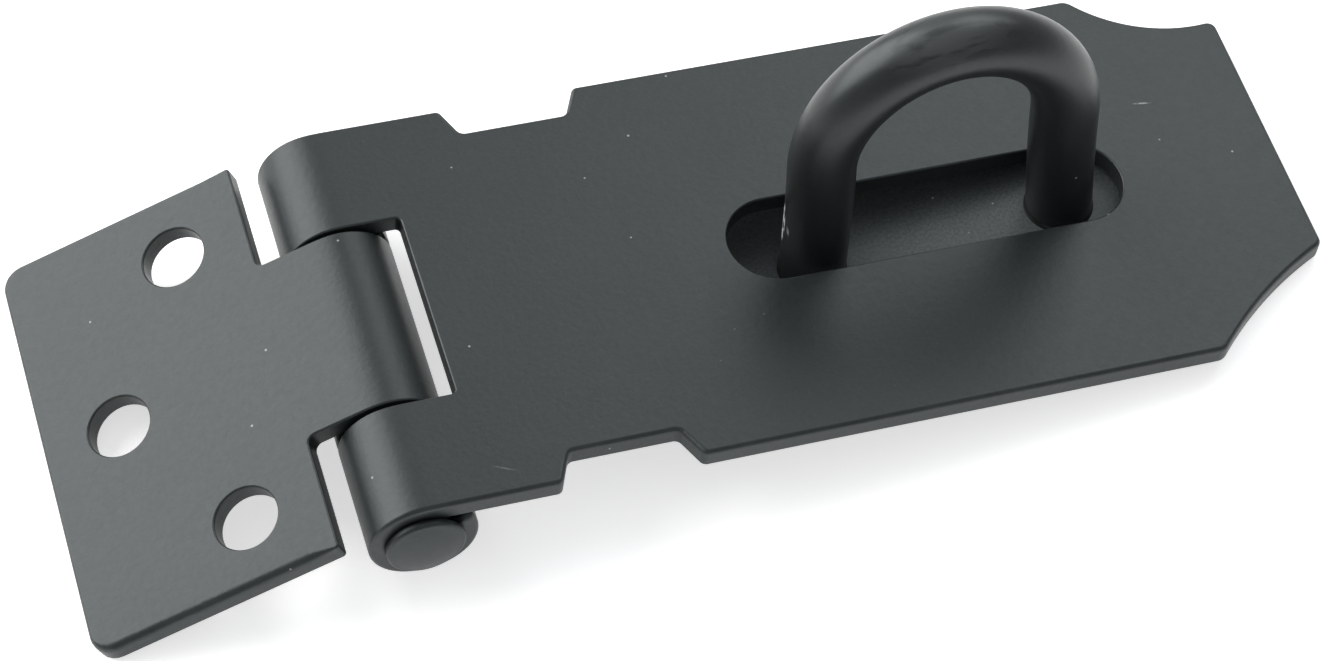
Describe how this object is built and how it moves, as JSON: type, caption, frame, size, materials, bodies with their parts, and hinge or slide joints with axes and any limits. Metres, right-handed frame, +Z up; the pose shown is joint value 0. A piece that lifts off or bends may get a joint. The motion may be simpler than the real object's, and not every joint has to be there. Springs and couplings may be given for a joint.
{
  "type": "hasp and staple",
  "caption": "Black coated steel hasp with a slotted leaf hinged to a short screw-on leaf, and a round-bar padlock staple on its own base plate.",
  "frame": {"origin": "middle of the staple base plate's underside, on the surface that the part stands on", "axes": "+X along the hasp leaf towards its free end, +Y along the hinge pin, +Z up along the staple's legs"},
  "size_m": [0.1229, 0.047, 0.0342],
  "materials": {
    "black_powder_coat": "satin"
  },
  "bodies": {
    "staple": {"staple_bow": "black_powder_coat", "staple_base_plate": "black_powder_coat"},
    "hasp_leaf": {"hasp_plate": "black_powder_coat", "hinge_pin": "black_powder_coat"},
    "hinge_leaf": {"hinge_plate": "black_powder_coat"}
  },
  "joints": [
    {"name": "hasp_lift", "type": "slide", "parent": "staple", "child": "hasp_leaf", "axis": [0, 0, 1], "range_m": [0, 0.045]},
    {"name": "hinge_fold", "type": "hinge", "parent": "hasp_leaf", "child": "hinge_leaf", "pos_m": [-0.05663, 0, 0.00707], "axis": [0, 1, 0], "range_deg": [-155, 118]}
  ]
}
